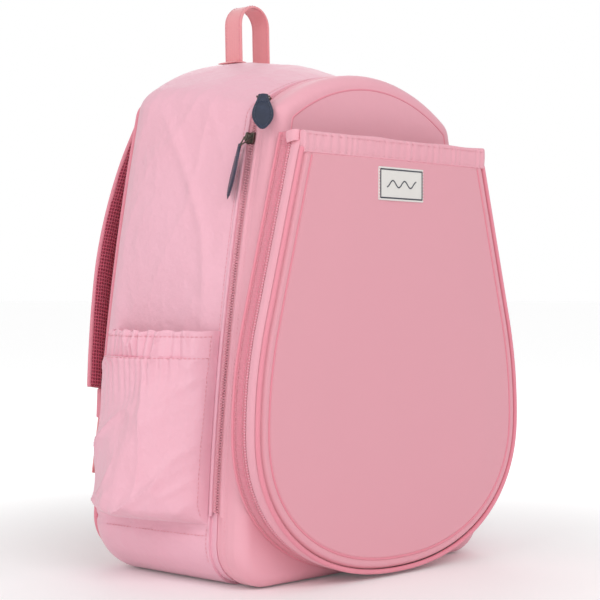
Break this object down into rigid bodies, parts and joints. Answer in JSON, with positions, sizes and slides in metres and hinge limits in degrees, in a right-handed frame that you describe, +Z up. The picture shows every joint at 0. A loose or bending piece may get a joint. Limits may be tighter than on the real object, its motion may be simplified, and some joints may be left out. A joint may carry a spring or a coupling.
{
  "type": "racket backpack",
  "caption": "Stand-up racket backpack in pink nylon: zip-arched front flap with a racket sleeve, side pockets, grab loop, padded straps and leaf-shaped zip pulls.",
  "frame": {"origin": "Middle of the flat base that it stands on, half way between the zip seam and the back wall", "axes": "-Y is the front, where the racket sleeve is. +Y is the back, where the straps are. +X is on the right in a view of the front. +Z is up"},
  "size_m": [0.3834, 0.2715, 0.5014],
  "materials": {
    "nylon": "coated plain-weave nylon, satin",
    "zip_tape": "woven polyester tape",
    "piping": "piping cord covered in cloth",
    "air_mesh": "spacer mesh over foam",
    "webbing": "satin woven webbing",
    "lining": "light woven lining",
    "board": "smooth stiffener board",
    "slider_metal": "gunmetal plated die-cast zinc and steel wire",
    "pull_leather": "dyed cowhide with bevelled edges",
    "lock_plastic": "moulded acetal",
    "label": "woven satin label, blank"
  },
  "bodies": {
    "bag": {"main_tub": "nylon", "grab_handle": "webbing", "main_zip_tape_rear": "zip_tape", "base_board": "board", "inner_slip_pocket": "lining", "back_pad": "air_mesh", "strap_yoke": "nylon", "corner_tab_left": "nylon", "corner_tab_right": "nylon", "side_pocket_left": "nylon", "side_pocket_right": "nylon", "pocket_band_left": "nylon", "pocket_band_right": "nylon"},
    "front_flap": {"front_flap": "nylon", "main_zip_tape_front": "zip_tape", "sleeve_back_panel": "nylon", "sleeve_zip_tape": "zip_tape"},
    "racket_cover": {"racket_cover": "nylon", "cover_side_band": "nylon", "cover_piping": "piping", "cover_top_band": "nylon", "label_patch": "label"},
    "upper_slider": {"zip_slider_upper": "slider_metal"},
    "lower_slider": {"zip_slider_lower": "slider_metal"},
    "sleeve_slider": {"zip_slider_sleeve": "slider_metal"},
    "upper_pull": {"pull_link_upper": "slider_metal", "pull_leaf_upper": "pull_leather"},
    "lower_pull": {"pull_link_lower": "slider_metal", "pull_leaf_lower": "pull_leather"},
    "sleeve_pull": {"pull_link_sleeve": "slider_metal", "pull_leaf_sleeve": "pull_leather"},
    "strap_left": {"shoulder_strap_left": "air_mesh", "ladder_lock_left": "lock_plastic", "lower_webbing_left": "webbing"},
    "strap_right": {"shoulder_strap_right": "air_mesh", "ladder_lock_right": "lock_plastic", "lower_webbing_right": "webbing"}
  },
  "joints": [
    {"name": "flap_open", "type": "hinge", "parent": "bag", "child": "front_flap", "pos_m": [0, -0.107, 0], "axis": [1, 0, 0], "range_deg": [0, 45]},
    {"name": "cover_open", "type": "hinge", "parent": "front_flap", "child": "racket_cover", "pos_m": [-0.114, -0.123, 0.367], "axis": [-0.2624, 0, -0.965], "range_deg": [0, 110]},
    {"name": "upper_slider_travel", "type": "hinge", "parent": "front_flap", "child": "upper_slider", "pos_m": [0, -0.0765, 0.242], "axis": [0, 1, 0], "range_deg": [0, 65.6]},
    {"name": "lower_slider_travel", "type": "hinge", "parent": "bag", "child": "lower_slider", "pos_m": [1.8425, -0.0765, -0.05], "axis": [0, -1, 0], "range_deg": [0, 2.9]},
    {"name": "sleeve_slider_travel", "type": "slide", "parent": "front_flap", "child": "sleeve_slider", "axis": [0.2624, 0, -0.965], "range_m": [0, 0.09]},
    {"name": "upper_pull_swing", "type": "hinge", "parent": "upper_slider", "child": "upper_pull", "pos_m": [-0.1008, -0.0765, 0.3985], "axis": [-0.5299, 0.7764, -0.3413], "range_deg": [0, 120]},
    {"name": "lower_pull_swing", "type": "hinge", "parent": "lower_slider", "child": "lower_pull", "pos_m": [-0.11826, -0.0765, 0.36476], "axis": [0.0297, 0.9897, 0.1403], "range_deg": [0, 120]},
    {"name": "sleeve_pull_swing", "type": "hinge", "parent": "sleeve_slider", "child": "sleeve_pull", "pos_m": [0.12063, -0.123, 0.35844], "axis": [0, -1, 0], "range_deg": [0, 120]},
    {"name": "strap_swing_left", "type": "hinge", "parent": "bag", "child": "strap_left", "pos_m": [-0.05, 0.0999, 0.402], "axis": [0.1856, 0.0191, 0.9824], "range_deg": [-7, 7]},
    {"name": "strap_swing_right", "type": "hinge", "parent": "bag", "child": "strap_right", "pos_m": [0.05, 0.0999, 0.402], "axis": [-0.1856, 0.0191, 0.9824], "range_deg": [-7, 7]}
  ]
}
